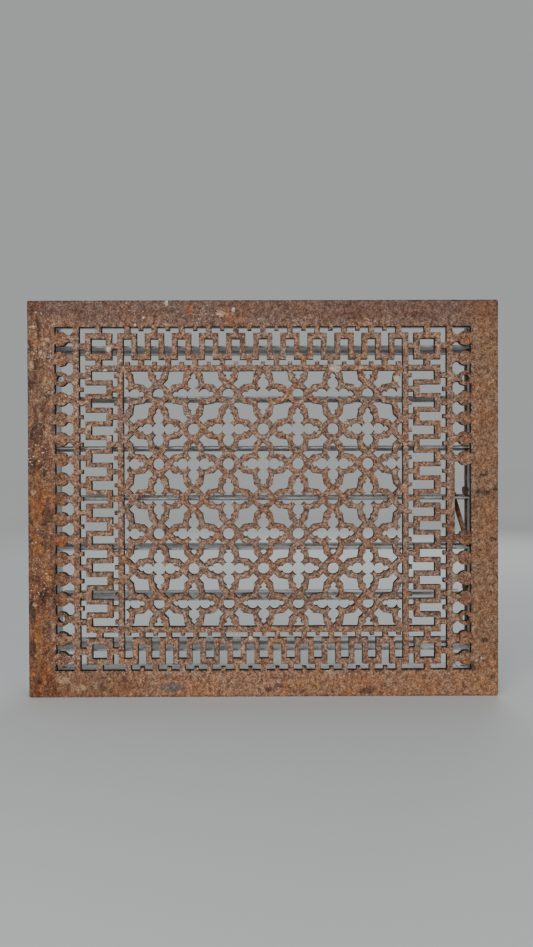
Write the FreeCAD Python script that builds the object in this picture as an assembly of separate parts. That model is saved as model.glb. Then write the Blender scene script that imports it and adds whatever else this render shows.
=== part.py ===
"""Wall register: a fretted cast-iron face over a sheet-metal valve box with seven linked louvres.

Millimetres, +Z up. The register stands upright, as in a wall. The origin is the centre of the
flange's back, the plane that seats on the wall: the face lies at y < 0 and the valve box at y > 0.
"""

import FreeCAD
import Part

import math
import os

# Face casting, outside
FACE_WIDTH = 768.0
FACE_HEIGHT = 648.0
FACE_THICK = 11.0               # at the flange; the fret is thinner by the recess
FACE_CORNER_R = 3.5
FACE_EDGE_R = 1.5
RECESS = 1.0                    # in the casting's back, where the valve box sits
RECESS_GAP = 1.0                # around the valve box

# Field of rings, crosses and stars, on a square lattice
LATTICE = 57.15                 # half the distance between neighbouring rings
FIELD_X = 4 * LATTICE - 0.6     # half-width of the field
FIELD_Z = 208.9                 # half-height of the field
RING_HOLE_R = 9.2
LOBE_R = 9.0
LOBE_REACH = 17.9               # from the middle of a cross to the middle of its lobe
CROSS_CORE = 9.5                # from the middle of a cross to its flat sides
CROSS_SPUR = 14.3               # x + z along the blunt spurs between two lobes
FINIAL = [(26.2, 2.9), (27.7, 4.4), (30.6, 4.4), (35.0, 0.0)]
STAR = [(22.7, 6.1), (12.1, 6.1), (9.8, 8.4), (0.0, 15.3)]

# Bars and bands around the field, going outwards
BAR = 9.5
MEANDER = 62.4                  # width of the meander band
DISC_BAND = 30.1                # width of the disc band, at the left and right only

# Meander: T-shaped holes, alternately from the outer and from the inner bar
OUTER_HEAD = 10.0
OUTER_STEM_END = 44.2
INNER_HEAD = 9.2
INNER_STEM_END = MEANDER - 19.5
SIDE_STEM = 14.4
TOP_STEM = 13.0
LINK = 9.2                      # ties between the ribbon and the two bars
NUB_WIDTH = 7.0
NUB_REACH = 5.6
CORNER_ARM = 26.4               # length of the arms of the holes in a corner block
CORNER_LINK = 10.2
CORNER_SQUARE = 23.9

# Disc band
DISC_PITCH = 32.7
DISC_R = 11.9
DISC_FROM_BAR = 21.1            # from the bar to the middle of a disc
NECK_BASE = 5.1                 # half-length of an opening along the bar
NECK_PEAK = 10.5                # half-length of an opening at its widest
FIXING_DISC = 6                 # the discs with fixing holes, counted from the middle
FIXING_HOLE_R = 5.5
SLOT_DISC = 2                   # the lever slot ends at these discs
SLOT_FROM_BAR = 3.6

MEANDER_X = FIELD_X + BAR + MEANDER
MEANDER_Z = FIELD_Z + BAR + MEANDER
DISC_BAND_X = MEANDER_X + BAR
FRET_X = DISC_BAND_X + DISC_BAND
DISC_X = DISC_BAND_X + DISC_FROM_BAR
SIDE_PITCH = (FIELD_Z - SIDE_STEM / 2) / 4.5
TOP_PITCH = (FIELD_X - TOP_STEM / 2) / 5

# Valve box, behind the face
BOX_WIDTH = 720.0
BOX_HEIGHT = 600.0
BOX_DEPTH = 96.0                # behind the wall plane
SHEET = 2.0
LIP = 18.0                      # height of the folded front lip, sheet included
ANGLE_LEG = 20.0
ANGLE_SHEET = 1.6
ANGLE_LENGTH = 80.0
RIVET_R = 2.0
RIVET_HEAD_R = 3.8
RIVET_HEAD = 1.2
SCREW_R = 2.0
SCREW_HEAD_R = 4.2
SCREW_HEAD = 2.6
SCREW_LENGTH = 8.0              # below the head
TAPPED_CLEARANCE = 0.1
TAPPED_DEPTH = 7.0

INNER_X = BOX_WIDTH / 2 - SHEET
INNER_Z = BOX_HEIGHT / 2 - SHEET
LIP_FRONT = -RECESS
LIP_BACK = LIP_FRONT + SHEET

# Louvres, linked by cranks and a tie bar
LOUVRES = 7
LOUVRE_PITCH = 83.6
PIVOT_Y = 48.0
BLADE_HALF = 43.0
BLADE_SHEET = 1.4
BLADE_BEAD_R = 4.8
BLADE_HEM_R = 1.6
BLADE_LEFT = -353.5
BLADE_RIGHT = 344.0
ROD_R = 3.0
ROD_RUNNING_GAP = 0.05
ROD_END = BOX_WIDTH / 2 + 1.5
CRANK_X = 346.0
CRANK_THICK = 4.0
CRANK_HUB_R = 7.0
CRANK_EYE_R = 5.5
CRANK_THROW = 18.0
CRANK_PIN_R = 2.5
CRANK_PIN_HEAD_R = 3.8
CRANK_PIN_HEAD = 1.4
SWING = 80.0                    # from open to shut, in degrees
TIE_BAR_GAP = 0.4
TIE_BAR_THICK = 2.0
TIE_BAR_WIDTH = 12.0
WASHER_R = 5.2
WASHER_THICK = 1.0

# Operating lever, on the rod of the middle louvre
LEVER_X = 326.0
LEVER_THICK = 6.0
LEVER_WIDTH = 9.0
LEVER_HUB_R = 8.5
LEVER_LENGTH = 86.0
LEVER_PIN_R = 1.2
KNOB_REACH = 90.0
KNOB_R = 6.0
KNOB_LENGTH = 17.0
WINDOW_HALF = 10.0              # window in the middle blade, around the lever's hub
WINDOW_WIDTH = 9.0
SPRING_R = 9.0
SPRING_BORE_R = 3.4
SPRING_SHEET = 0.8
SPRING_HEIGHT = 3.0

AXIS_X = FreeCAD.Vector(1, 0, 0)
AXIS_Y = FreeCAD.Vector(0, 1, 0)


# ---- plane figures, drawn in x and z on the front of the face ----

def on_front(x, z):
    return FreeCAD.Vector(x, -FACE_THICK, z)


def polygon(points):
    corners = [on_front(x, z) for x, z in points]
    return Part.Face(Part.makePolygon(corners + corners[:1]))


def rectangle(x_low, z_low, x_high, z_high):
    return polygon([(x_low, z_low), (x_high, z_low), (x_high, z_high), (x_low, z_high)])


def disc(x, z, radius):
    return Part.Face(Part.Wire(Part.makeCircle(radius, on_front(x, z), AXIS_Y)))


def clipped(figures, half_x, half_z):
    """The figures, cut off at a rectangle around the origin; what lies outside is dropped."""
    frame = rectangle(-half_x, -half_z, half_x, half_z)
    kept = []
    for figure in figures:
        box = figure.BoundBox
        if max(-box.XMin, box.XMax) <= half_x and max(-box.ZMin, box.ZMax) <= half_z:
            kept.append(figure)
        else:
            kept.extend(figure.common(frame).Faces)
    return kept


def cross_figure():
    """A four-lobed cross with a pointed finial at the end of each lobe.

    All its figures run clockwise, so that they merge into one face.
    """
    side, spur = CROSS_CORE, CROSS_SPUR - CROSS_CORE
    core = [(side, spur), (side, -spur), (spur, -side), (-spur, -side),
            (-side, -spur), (-side, spur), (-spur, side), (spur, side)]
    tip = [(LOBE_REACH, FINIAL[0][1])] + FINIAL
    finial = polygon(tip + [(x, -z) for x, z in tip[-2::-1]])
    lobe = disc(LOBE_REACH, 0, LOBE_R)
    arms = []
    for quarter in range(4):
        for piece in (lobe, finial):
            arm = piece.copy()
            arm.rotate(on_front(0, 0), AXIS_Y, 90 * quarter)
            arms.append(arm)
    return polygon(core).multiFuse(arms).removeSplitter().Faces[0]


def star_figure():
    """A star with blunt ends, long along +x +z."""
    outline = (STAR + [(-u, v) for u, v in STAR[-2::-1]]
               + [(-u, -v) for u, v in STAR] + [(u, -v) for u, v in STAR[-2::-1]])
    star = polygon(outline)
    star.rotate(on_front(0, 0), AXIS_Y, -45)
    return star


def moved(figure, x, z):
    copy = figure.copy()
    copy.translate(FreeCAD.Vector(x, 0, z))
    return copy


def field_holes():
    cross = cross_figure()
    star = star_figure()
    turned_star = star.copy()
    turned_star.rotate(on_front(0, 0), AXIS_Y, 90)
    holes = []
    for i in range(-4, 5):
        for j in range(-4, 5):
            x, z = i * LATTICE, j * LATTICE
            even = (i + j) % 2 == 0
            if not even:
                holes.append(moved(cross, x, z))
            elif abs(j) < 4:
                holes.append(disc(x, z, RING_HOLE_R))
            if i < 4 and j < 4:
                kind = star if even else turned_star
                holes.append(moved(kind, x + LATTICE / 2, z + LATTICE / 2))
    return clipped(holes, FIELD_X, FIELD_Z)


def tee(centre, half_head, stem, head, stem_end):
    """A T as (along, depth) points: its head starts at depth 0, with a nub standing in it."""
    half_stem, half_nub = stem / 2, NUB_WIDTH / 2
    side = [(half_nub, NUB_REACH), (half_nub, 0), (half_head, 0), (half_head, head),
            (half_stem, head), (half_stem, stem_end)]
    outline = side + [(-s, d) for s, d in side[::-1]]
    return [(centre + s, d) for s, d in outline]


def meander_tees(pitch, stem, outer_at, inner_at):
    """All T outlines of one band as (along, depth) points, depth counted from the outer bar."""
    half_head = (pitch - LINK) / 2
    tees = [tee(k * pitch, half_head, stem, OUTER_HEAD, OUTER_STEM_END) for k in outer_at]
    for k in inner_at:
        inner = tee(k * pitch, half_head, stem, INNER_HEAD, INNER_STEM_END)
        tees.append([(s, MEANDER - d) for s, d in inner])
    return tees


def meander_holes():
    whole = list(range(-5, 6))
    halves = [k + 0.5 for k in range(-5, 5)]
    holes = []
    for sign in (-1, 1):
        for outline in meander_tees(SIDE_PITCH, SIDE_STEM, whole[1:-1], halves):
            holes += clipped([polygon([(sign * (MEANDER_X - d), s) for s, d in outline])],
                             MEANDER_X, FIELD_Z)
        for outline in meander_tees(TOP_PITCH, TOP_STEM, halves, whole):
            holes += clipped([polygon([(s, sign * (MEANDER_Z - d)) for s, d in outline])],
                             FIELD_X, MEANDER_Z)
    return holes


def corner_outlines():
    """The holes of one corner block, as (depth from the side bar, depth from the top bar) points."""
    inner = MEANDER - INNER_HEAD
    far_arm = CORNER_ARM + CORNER_LINK
    outer_corner = [(0, 0), (CORNER_ARM, 0), (CORNER_ARM, OUTER_HEAD), (OUTER_HEAD, OUTER_HEAD),
                    (OUTER_HEAD, CORNER_ARM), (0, CORNER_ARM)]
    inner_corner = [(MEANDER, MEANDER), (far_arm, MEANDER), (far_arm, inner), (inner, inner),
                    (inner, far_arm), (MEANDER, far_arm)]
    low = MEANDER - INNER_STEM_END
    high = low + CORNER_SQUARE
    square = [(low, low), (high, low), (high, high), (low, high)]

    def side_tee(end):
        return [(far_arm, 0), (end, 0), (end, OUTER_HEAD), (MEANDER, OUTER_HEAD),
                (MEANDER, CORNER_ARM), (inner, CORNER_ARM), (inner, OUTER_HEAD), (far_arm, OUTER_HEAD)]

    top_end = MEANDER_X - 4.5 * TOP_PITCH - (TOP_PITCH + LINK) / 2
    side_end = MEANDER_Z - 4 * SIDE_PITCH - (SIDE_PITCH + LINK) / 2
    return [outer_corner, inner_corner, square, side_tee(top_end),
            [(u, w) for w, u in side_tee(side_end)]]


def corner_holes():
    return [polygon([(sx * (MEANDER_X - u), sz * (MEANDER_Z - w)) for u, w in outline])
            for sx in (-1, 1) for sz in (-1, 1) for outline in corner_outlines()]


def disc_gap(low_disc, high_disc, near_bar, sign):
    """The hole between two discs of a side band: straight along the bar and the flange."""
    low, high = low_disc * DISC_PITCH, high_disc * DISC_PITCH
    base = DISC_PITCH / 2 - NECK_BASE
    peak = DISC_PITCH / 2 - NECK_PEAK
    chamfer = NECK_PEAK - NECK_BASE
    arc_start = DISC_FROM_BAR - math.sqrt(DISC_R ** 2 - peak ** 2)
    arc_end = math.sqrt(DISC_R ** 2 - (DISC_BAND - DISC_FROM_BAR) ** 2)

    def at(depth, z):
        return on_front(sign * (DISC_BAND_X + depth), z)

    if near_bar > 0:                # the slot's straight edge runs right up to the discs
        bar_end = [at(near_bar, high - peak), at(near_bar, low + peak)]
    else:
        bar_end = [at(chamfer, high - peak), at(0, high - base), at(0, low + base),
                   at(chamfer, low + peak)]
    start_low, start_high = at(arc_start, low + peak), at(arc_start, high - peak)
    end_low, end_high = at(DISC_BAND, low + arc_end), at(DISC_BAND, high - arc_end)
    edges = [Part.makePolygon([start_high] + bar_end + [start_low]),
             Part.Arc(start_low, at(DISC_FROM_BAR, low + DISC_R), end_low).toShape(),
             Part.makeLine(end_low, end_high),
             Part.Arc(end_high, at(DISC_FROM_BAR, high - DISC_R), start_high).toShape()]
    return Part.Face(Part.Wire([edge for part in edges for edge in part.Edges]))


def disc_band_holes():
    holes = []
    for sign in (-1, 1):
        for k in range(-9, 9):
            in_slot = sign > 0 and -SLOT_DISC <= k < SLOT_DISC
            if not in_slot:
                holes.append(disc_gap(k, k + 1, 0, sign))
        for z in (-FIXING_DISC * DISC_PITCH, FIXING_DISC * DISC_PITCH):
            holes.append(disc(sign * DISC_X, z, FIXING_HOLE_R))
    holes.append(disc_gap(-SLOT_DISC, SLOT_DISC, SLOT_FROM_BAR, 1))
    return clipped(holes, FRET_X, MEANDER_Z)


# ---- solids ----

def cylinder(radius, length, start, direction):
    return Part.makeCylinder(radius, length, start, direction)


def box(low, high):
    size = [b - a for a, b in zip(low, high)]
    return Part.makeBox(*size, FreeCAD.Vector(*low))


def lip_screw_places():
    """Places of the screws through the front lips, clear of the louvres' sweep."""
    middle_of_lip = LIP / 2 + SHEET / 2
    side_x = BOX_WIDTH / 2 - middle_of_lip
    top_z = BOX_HEIGHT / 2 - middle_of_lip
    sides = [(sx * side_x, sz * 1.5 * LOUVRE_PITCH) for sx in (-1, 1) for sz in (-1, 1)]
    ends = [(x, sz * top_z) for x in (-240, 0, 240) for sz in (-1, 1)]
    return sides + ends


def face_grille():
    """The casting: pierced, rounded at its corners and outer front edge, recessed at its back."""
    holes = field_holes() + meander_holes() + corner_holes() + disc_band_holes()
    wires = [hole.OuterWire for hole in holes]
    half_x, half_z = FACE_WIDTH / 2, FACE_HEIGHT / 2
    blank = box((-half_x, -FACE_THICK, -half_z), (half_x, 0, half_z))
    upright = [edge for edge in blank.Edges if abs(edge.BoundBox.YLength - FACE_THICK) < 0.01]
    blank = blank.makeFillet(FACE_CORNER_R, upright)
    front = [edge for edge in blank.Edges if edge.BoundBox.YMax < -FACE_THICK + 0.01]
    blank = blank.makeFillet(FACE_EDGE_R, front)
    fret = Part.makeFace([rectangle(-FRET_X - 5, -MEANDER_Z - 5, FRET_X + 5, MEANDER_Z + 5).OuterWire]
                         + wires, "Part::FaceMakerBullseye")
    panel = fret.extrude(AXIS_Y * FACE_THICK)
    window = box((-FRET_X - 5, -FACE_THICK - 1, -MEANDER_Z - 5), (FRET_X + 5, 1, MEANDER_Z + 5))
    casting = blank.cut(window).fuse(panel).removeSplitter()
    recess_x, recess_z = BOX_WIDTH / 2 + RECESS_GAP, BOX_HEIGHT / 2 + RECESS_GAP
    recess = box((-recess_x, -RECESS, -recess_z), (recess_x, 1, recess_z))
    tapped = [cylinder(SCREW_R + TAPPED_CLEARANCE, TAPPED_DEPTH,
                       FreeCAD.Vector(x, LIP_FRONT, z), -AXIS_Y)
              for x, z in lip_screw_places()]
    return casting.cut([recess] + tapped)


def pivot_heights():
    middle = (LOUVRES - 1) / 2
    return [(n - middle) * LOUVRE_PITCH for n in range(LOUVRES)]


def box_side(sign):
    """A side plate, with its lip folded inwards behind the flange and a bearing hole per louvre."""
    outer = sign * BOX_WIDTH / 2
    inner = sign * INNER_X
    lip_end = sign * (BOX_WIDTH / 2 - LIP)
    xs = sorted((outer, inner))
    web = box((xs[0], LIP_FRONT, -BOX_HEIGHT / 2), (xs[1], BOX_DEPTH, BOX_HEIGHT / 2))
    xs = sorted((inner, lip_end))
    lip = box((xs[0], LIP_FRONT, -INNER_Z), (xs[1], LIP_BACK, INNER_Z))
    holes = [cylinder(ROD_R + ROD_RUNNING_GAP, 2 * SHEET,
                      FreeCAD.Vector(inner - sign * SHEET / 2, PIVOT_Y, z), AXIS_X * sign)
             for z in pivot_heights()]
    holes += [screw_hole(x, z) for x, z in lip_screw_places() if x * sign > INNER_X - LIP]
    holes += [rivet_hole(place, axis) for place, axis in rivet_places()
              if axis.x * sign > 0.5]
    return web.fuse(lip).removeSplitter().cut(holes)


def box_end(sign):
    """The top or bottom plate, between the sides, with the same folded lip."""
    inner = sign * INNER_Z
    lip_end = sign * (BOX_HEIGHT / 2 - LIP)
    zs = sorted((sign * BOX_HEIGHT / 2, inner))
    web = box((-INNER_X, LIP_FRONT, zs[0]), (INNER_X, BOX_DEPTH, zs[1]))
    zs = sorted((inner, lip_end))
    reach = BOX_WIDTH / 2 - LIP
    lip = box((-reach, LIP_FRONT, zs[0]), (reach, LIP_BACK, zs[1]))
    holes = [screw_hole(x, z) for x, z in lip_screw_places() if z * sign > INNER_Z - LIP]
    holes += [rivet_hole(place, axis) for place, axis in rivet_places()
              if axis.z * sign > 0.5]
    return web.fuse(lip).removeSplitter().cut(holes)


def screw_hole(x, z):
    start = FreeCAD.Vector(x, LIP_FRONT - SHEET / 2, z)
    return cylinder(SCREW_R + TAPPED_CLEARANCE, 2 * SHEET, start, AXIS_Y)


def rivet_hole(place, axis):
    return cylinder(RIVET_R, 4 * SHEET, place - axis * 3 * SHEET, axis)


def rivet_places():
    """Each corner rivet's point on the outside of the box, with its outward direction."""
    places = []
    from_corner = SHEET + ANGLE_SHEET + (ANGLE_LEG - ANGLE_SHEET) / 2
    first = (BOX_DEPTH - ANGLE_LENGTH) / 2 + ANGLE_LENGTH / 4
    for sx in (-1, 1):
        for sz in (-1, 1):
            for y in (first, first + ANGLE_LENGTH / 2):
                side = FreeCAD.Vector(sx * BOX_WIDTH / 2, y, sz * (BOX_HEIGHT / 2 - from_corner))
                end = FreeCAD.Vector(sx * (BOX_WIDTH / 2 - from_corner), y, sz * BOX_HEIGHT / 2)
                places.append((side, FreeCAD.Vector(sx, 0, 0)))
                places.append((end, FreeCAD.Vector(0, 0, sz)))
    return places


def corner_angle(sx, sz):
    """The folded angle inside one corner of the box."""
    y_low = (BOX_DEPTH - ANGLE_LENGTH) / 2
    y_high = y_low + ANGLE_LENGTH
    corner_x, corner_z = sx * INNER_X, sz * INNER_Z
    xs = sorted((corner_x, corner_x - sx * ANGLE_SHEET))
    zs = sorted((corner_z, corner_z - sz * ANGLE_LEG))
    side_leg = box((xs[0], y_low, zs[0]), (xs[1], y_high, zs[1]))
    xs = sorted((corner_x, corner_x - sx * ANGLE_LEG))
    zs = sorted((corner_z, corner_z - sz * ANGLE_SHEET))
    end_leg = box((xs[0], y_low, zs[0]), (xs[1], y_high, zs[1]))
    holes = [rivet_hole(place, axis) for place, axis in rivet_places()
             if place.x * sx > 0 and place.z * sz > 0]
    return side_leg.fuse(end_leg).removeSplitter().cut(holes)


def box_rivets():
    """Rivets through the plates and the corner angles, headed on the inside, flush outside."""
    rivets = []
    grip = SHEET + ANGLE_SHEET
    for place, axis in rivet_places():
        shank = cylinder(RIVET_R, grip, place, -axis)
        head = cylinder(RIVET_HEAD_R, RIVET_HEAD, place - axis * grip, -axis)
        crown = [edge for edge in head.Edges
                 if abs((edge.CenterOfMass - place).dot(axis) + grip + RIVET_HEAD) < 0.01]
        rivets.append(shank.fuse(head.makeFillet(RIVET_HEAD * 0.8, crown)))
    return Part.makeCompound(rivets)


def lip_screws():
    """Slotted screws from behind, through the lips into the back of the flange."""
    screws = []
    for x, z in lip_screw_places():
        start = FreeCAD.Vector(x, LIP_BACK, z)
        shank = cylinder(SCREW_R, SCREW_LENGTH, start, -AXIS_Y)
        head = cylinder(SCREW_HEAD_R, SCREW_HEAD, start, AXIS_Y)
        crown = [edge for edge in head.Edges if edge.BoundBox.YMin > LIP_BACK + SCREW_HEAD - 0.01]
        head = head.makeFillet(SCREW_HEAD * 0.4, crown)
        slot = box((x - SCREW_HEAD_R - 1, LIP_BACK + SCREW_HEAD * 0.55, z - 0.5),
                   (x + SCREW_HEAD_R + 1, LIP_BACK + SCREW_HEAD + 1, z + 0.5))
        screws.append(shank.fuse(head).cut(slot))
    return Part.makeCompound(screws)


def blade(z, lever_window):
    """A sheet louvre, open: a bead closed around the rod, and both long edges hemmed."""
    length = BLADE_RIGHT - BLADE_LEFT
    hem = BLADE_HALF - BLADE_HEM_R
    sheet = box((BLADE_LEFT, PIVOT_Y - hem, z - BLADE_SHEET / 2),
                (BLADE_RIGHT, PIVOT_Y + hem, z + BLADE_SHEET / 2))
    rounds = [cylinder(radius, length, FreeCAD.Vector(BLADE_LEFT, PIVOT_Y + y, z), AXIS_X)
              for y, radius in ((0, BLADE_BEAD_R), (-hem, BLADE_HEM_R), (hem, BLADE_HEM_R))]
    bore = cylinder(ROD_R, length, FreeCAD.Vector(BLADE_LEFT, PIVOT_Y, z), AXIS_X)
    louvre = sheet.multiFuse(rounds).cut(bore)
    if lever_window:
        louvre = louvre.cut(box((LEVER_X - WINDOW_WIDTH / 2, PIVOT_Y - WINDOW_HALF, z - WINDOW_HALF),
                                (LEVER_X + WINDOW_WIDTH / 2, PIVOT_Y + WINDOW_HALF, z + WINDOW_HALF)))
    return louvre


def rod(z, with_pin):
    """The wire rod that a louvre turns on; the middle one is cross-drilled for the lever's pin."""
    wire = cylinder(ROD_R, 2 * ROD_END, FreeCAD.Vector(-ROD_END, PIVOT_Y, z), AXIS_X)
    return wire.cut(lever_pin()) if with_pin else wire


def swung(y, z, centre_z):
    """The point at y back from and z above a louvre's axis, turned with the crank."""
    half = math.radians(SWING / 2)
    return (PIVOT_Y + y * math.cos(half) - z * math.sin(half),
            centre_z + y * math.sin(half) + z * math.cos(half))


def crank(z):
    """A crank pressed on the rod, pointing back and up, with the pin that carries the tie bar."""
    pin_y, pin_z = swung(CRANK_THROW, 0, z)
    hub_centre = FreeCAD.Vector(CRANK_X, PIVOT_Y, z)
    eye_centre = FreeCAD.Vector(CRANK_X, pin_y, pin_z)
    corners = [swung(y, w, z) for y, w in ((0, -CRANK_HUB_R), (CRANK_THROW, -CRANK_EYE_R),
                                           (CRANK_THROW, CRANK_EYE_R), (0, CRANK_HUB_R))]
    web = [FreeCAD.Vector(CRANK_X, y, w) for y, w in corners]
    arm = Part.Face(Part.makePolygon(web + web[:1])).extrude(AXIS_X * CRANK_THICK)
    pin_length = TIE_BAR_GAP + TIE_BAR_THICK + WASHER_THICK + TIE_BAR_GAP
    pin_start = FreeCAD.Vector(CRANK_X + CRANK_THICK, pin_y, pin_z)
    pieces = [cylinder(CRANK_HUB_R, CRANK_THICK, hub_centre, AXIS_X),
              cylinder(CRANK_EYE_R, CRANK_THICK, eye_centre, AXIS_X),
              cylinder(CRANK_PIN_R, pin_length, pin_start, AXIS_X),
              cylinder(CRANK_PIN_HEAD_R, CRANK_PIN_HEAD, pin_start + AXIS_X * pin_length, AXIS_X)]
    bore = cylinder(ROD_R, CRANK_THICK, hub_centre, AXIS_X)
    return arm.multiFuse(pieces).removeSplitter().cut(bore)


def tie_bar():
    """The flat bar that joins all the cranks, with round ends."""
    x = CRANK_X + CRANK_THICK + TIE_BAR_GAP
    pins = [swung(CRANK_THROW, 0, z) for z in pivot_heights()]
    y, low, high = pins[0][0], pins[0][1], pins[-1][1]
    half = TIE_BAR_WIDTH / 2
    bar = box((x, y - half, low), (x + TIE_BAR_THICK, y + half, high))
    ends = [cylinder(half, TIE_BAR_THICK, FreeCAD.Vector(x, y, z), AXIS_X) for z in (low, high)]
    holes = [cylinder(CRANK_PIN_R + ROD_RUNNING_GAP, TIE_BAR_THICK, FreeCAD.Vector(x, y, z), AXIS_X)
             for y, z in pins]
    return bar.multiFuse(ends).removeSplitter().cut(holes)


def tie_bar_washers():
    x = CRANK_X + CRANK_THICK + TIE_BAR_GAP + TIE_BAR_THICK
    washers = []
    for z in pivot_heights():
        centre = FreeCAD.Vector(x, *swung(CRANK_THROW, 0, z))
        washer = cylinder(WASHER_R, WASHER_THICK, centre, AXIS_X)
        washers.append(washer.cut(cylinder(CRANK_PIN_R + ROD_RUNNING_GAP, WASHER_THICK, centre, AXIS_X)))
    return Part.makeCompound(washers)


def lever_pin():
    """The cross pin that holds the lever on its rod, square to the lever's arm."""
    start = FreeCAD.Vector(LEVER_X, *swung(0, -LEVER_HUB_R, 0))
    end = FreeCAD.Vector(LEVER_X, *swung(0, LEVER_HUB_R, 0))
    return cylinder(LEVER_PIN_R, (end - start).Length, start, end - start)


def lever():
    """The lever: a hub on the middle rod and an arm that leans forwards and down, out of the slot."""
    left = LEVER_X - LEVER_THICK / 2
    half = LEVER_WIDTH / 2
    tip = [(0, -half), (-LEVER_LENGTH, -half * 0.7), (-LEVER_LENGTH, half * 0.7), (0, half)]
    outline = [FreeCAD.Vector(left, *swung(y, w, 0)) for y, w in tip]
    arm = Part.Face(Part.makePolygon(outline + outline[:1])).extrude(AXIS_X * LEVER_THICK)
    hub_centre = FreeCAD.Vector(left, PIVOT_Y, 0)
    hub = cylinder(LEVER_HUB_R, LEVER_THICK, hub_centre, AXIS_X)
    bore = cylinder(ROD_R, LEVER_THICK, hub_centre, AXIS_X)
    return arm.fuse(hub).removeSplitter().cut([bore, lever_pin(), lever_knob()])


def lever_knob():
    """The barrel-shaped thumb piece across the lever's tip."""
    centre = FreeCAD.Vector(LEVER_X - KNOB_LENGTH / 2, *swung(-KNOB_REACH, 0, 0))
    barrel = cylinder(KNOB_R, KNOB_LENGTH, centre, AXIS_X)
    rims = [edge for edge in barrel.Edges if edge.Curve.TypeId == "Part::GeomCircle"]
    return barrel.makeFillet(KNOB_R * 0.4, rims)


def friction_spring():
    """A coned spring washer between the middle blade and the left side plate."""
    wall = -INNER_X
    profile = [(wall, SPRING_R), (wall + SPRING_SHEET, SPRING_R),
               (wall + SPRING_HEIGHT + SPRING_SHEET, SPRING_BORE_R),
               (wall + SPRING_HEIGHT, SPRING_BORE_R)]
    corners = [FreeCAD.Vector(x, PIVOT_Y + r, 0) for x, r in profile]
    section = Part.Face(Part.makePolygon(corners + corners[:1]))
    return section.revolve(FreeCAD.Vector(0, PIVOT_Y, 0), AXIS_X, 360)


def all_nodes():
    nodes = {"face_grille": face_grille(),
             "box_side_left": box_side(-1), "box_side_right": box_side(1),
             "box_bottom": box_end(-1), "box_top": box_end(1),
             "box_rivets": box_rivets(), "lip_screws": lip_screws()}
    corners = [(sx, sz) for sz in (-1, 1) for sx in (-1, 1)]
    for number, (sx, sz) in enumerate(corners, 1):
        nodes[f"corner_angle_{number}"] = corner_angle(sx, sz)
    for number, z in enumerate(pivot_heights(), 1):
        middle = number == (LOUVRES + 1) // 2
        nodes[f"louvre_blade_{number}"] = blade(z, middle)
        nodes[f"pivot_rod_{number}"] = rod(z, middle)
        nodes[f"crank_{number}"] = crank(z)
    nodes.update({"tie_bar": tie_bar(), "tie_bar_washers": tie_bar_washers(),
                  "lever": lever(), "lever_pin": lever_pin(), "lever_knob": lever_knob(),
                  "friction_spring": friction_spring()})
    return nodes


def main():
    os.makedirs("parts", exist_ok=True)
    for name, shape in all_nodes().items():
        solids = shape.Solids
        if not shape.isValid() or not solids:
            raise RuntimeError(f"{name} is not a valid solid")
        shape.exportStep(f"parts/{name}.step")
        print(f"{name}: {len(solids)} solid(s), {shape.Volume / 1000:.2f} cm3")


main()
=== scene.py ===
"""Looks of the louvred air register: a rusted, pitted casting before a zinc-coated louvre valve.

The casting is rebuilt from the outlines of its CAD node, with worn edges, slightly wandering
outlines and an uneven front. The other pieces are the CAD nodes with materials of their own, and
the linkage among them has worn edges. Metres, in the CAD frame: the front faces -Y.
"""

import bpy
import math
import random

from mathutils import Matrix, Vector, noise
from mathutils.bvhtree import BVHTree
from mathutils.geometry import delaunay_2d_cdt, intersect_line_line_2d
from mathutils.kdtree import KDTree


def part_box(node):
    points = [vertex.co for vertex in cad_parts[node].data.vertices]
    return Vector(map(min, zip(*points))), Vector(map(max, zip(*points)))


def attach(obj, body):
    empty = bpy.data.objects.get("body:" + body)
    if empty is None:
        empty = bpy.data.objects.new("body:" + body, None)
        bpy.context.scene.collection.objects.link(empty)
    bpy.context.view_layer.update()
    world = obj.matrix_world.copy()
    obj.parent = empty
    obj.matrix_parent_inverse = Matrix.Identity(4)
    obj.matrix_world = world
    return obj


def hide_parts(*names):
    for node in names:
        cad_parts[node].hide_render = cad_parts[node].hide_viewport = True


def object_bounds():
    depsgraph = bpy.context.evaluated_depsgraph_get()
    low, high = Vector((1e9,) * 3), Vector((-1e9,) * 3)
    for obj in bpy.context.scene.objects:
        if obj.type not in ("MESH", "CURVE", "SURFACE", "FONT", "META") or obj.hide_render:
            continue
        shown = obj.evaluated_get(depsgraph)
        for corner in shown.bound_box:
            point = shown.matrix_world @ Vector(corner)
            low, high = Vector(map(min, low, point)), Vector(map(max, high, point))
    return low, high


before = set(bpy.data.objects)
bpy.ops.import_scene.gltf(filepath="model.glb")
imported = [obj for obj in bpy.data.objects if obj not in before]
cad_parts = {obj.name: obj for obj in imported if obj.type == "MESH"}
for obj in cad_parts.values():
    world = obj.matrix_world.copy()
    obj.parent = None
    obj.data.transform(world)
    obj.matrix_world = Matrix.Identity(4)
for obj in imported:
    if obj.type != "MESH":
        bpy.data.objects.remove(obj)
cad_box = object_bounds()

MM = 0.001

# Camera, before the casting's middle: its turns are in degrees, its lens and sensor in mm
CAMERA_X = 1.2 * MM
CAMERA_Z = 50.9 * MM
CAMERA_DISTANCE = 1160 * MM
CAMERA_DOWN = 0.476
CAMERA_RIGHT = 0.198
CAMERA_ROLL = 0.185
CAMERA_LENS = 27.03
CAMERA_SENSOR = 36.0

# Lamps: name, place, aim, size and power
LAMPS = [
    ("key", (-0.9, -1.9, 0.5), (0, 0, 0), 1.0, 20),
    ("fill", (1.5, -1.8, 0.1), (0, 0, -0.1), 1.2, 11),
    ("behind", (0.8, 2.2, 1.5), (0, 0, 0), 1.6, 16),
]
WORLD_COLOUR = (0.375, 0.39, 0.39, 1)

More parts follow.
